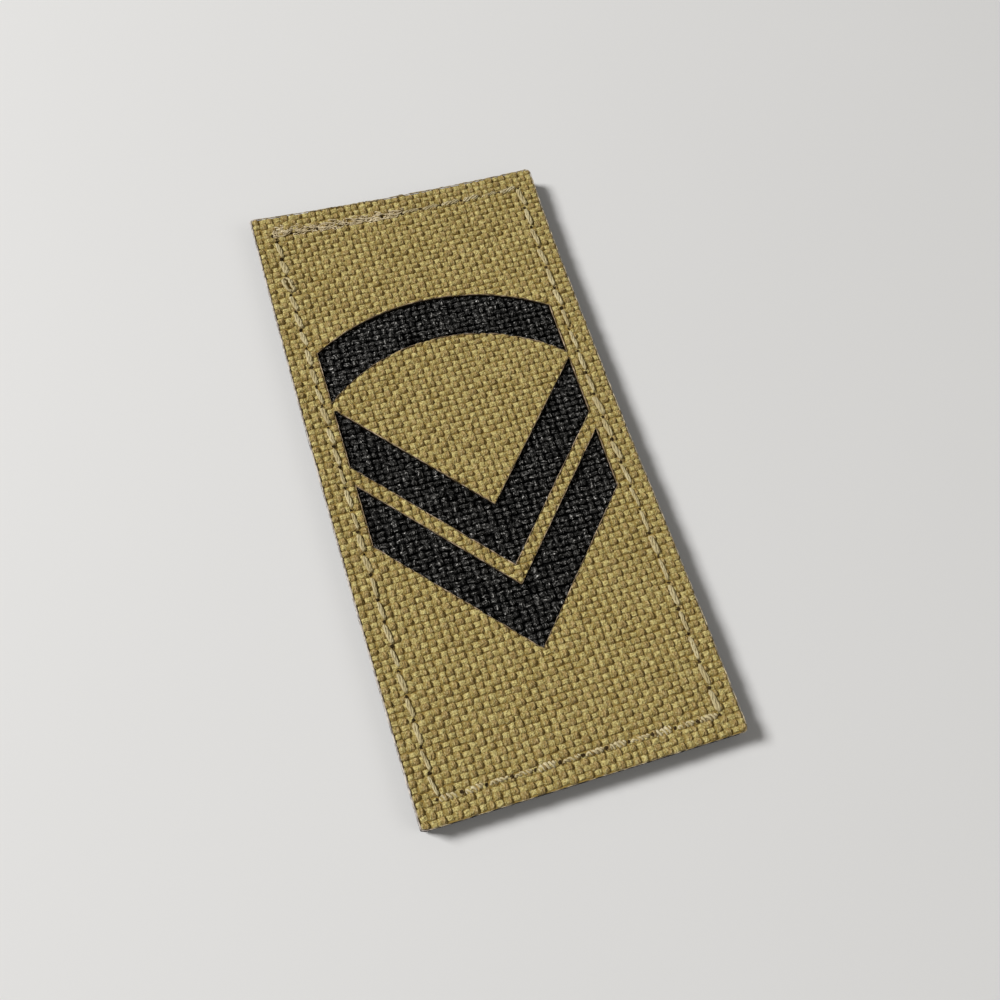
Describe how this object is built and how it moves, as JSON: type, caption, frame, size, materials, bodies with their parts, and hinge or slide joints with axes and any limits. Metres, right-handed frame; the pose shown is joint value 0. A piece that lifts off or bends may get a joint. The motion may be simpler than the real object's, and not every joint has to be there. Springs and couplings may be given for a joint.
{
  "type": "rank patch",
  "caption": "Flat rectangular woven rank patch with a black arc band above chevrons and a hook tape backing.",
  "frame": {"origin": "middle of the hook side, on the plane that the patch rests on", "axes": "+X to the patch's right, +Y to its top, +Z out of the woven face"},
  "size_m": [0.0454, 0.0936, 0.0033],
  "materials": {
    "tan_weave": "coarse plain weave, slight sheen",
    "black_weave": "coarse plain weave, satin sheen on the crowns",
    "hook_tape": "woven tape with nylon hooks",
    "border_thread": "twisted polyester thread, satin"
  },
  "bodies": {
    "root": {"hook_backing": "hook_tape", "inlay_panel": "black_weave", "face_panel": "tan_weave"}
  },
  "joints": []
}
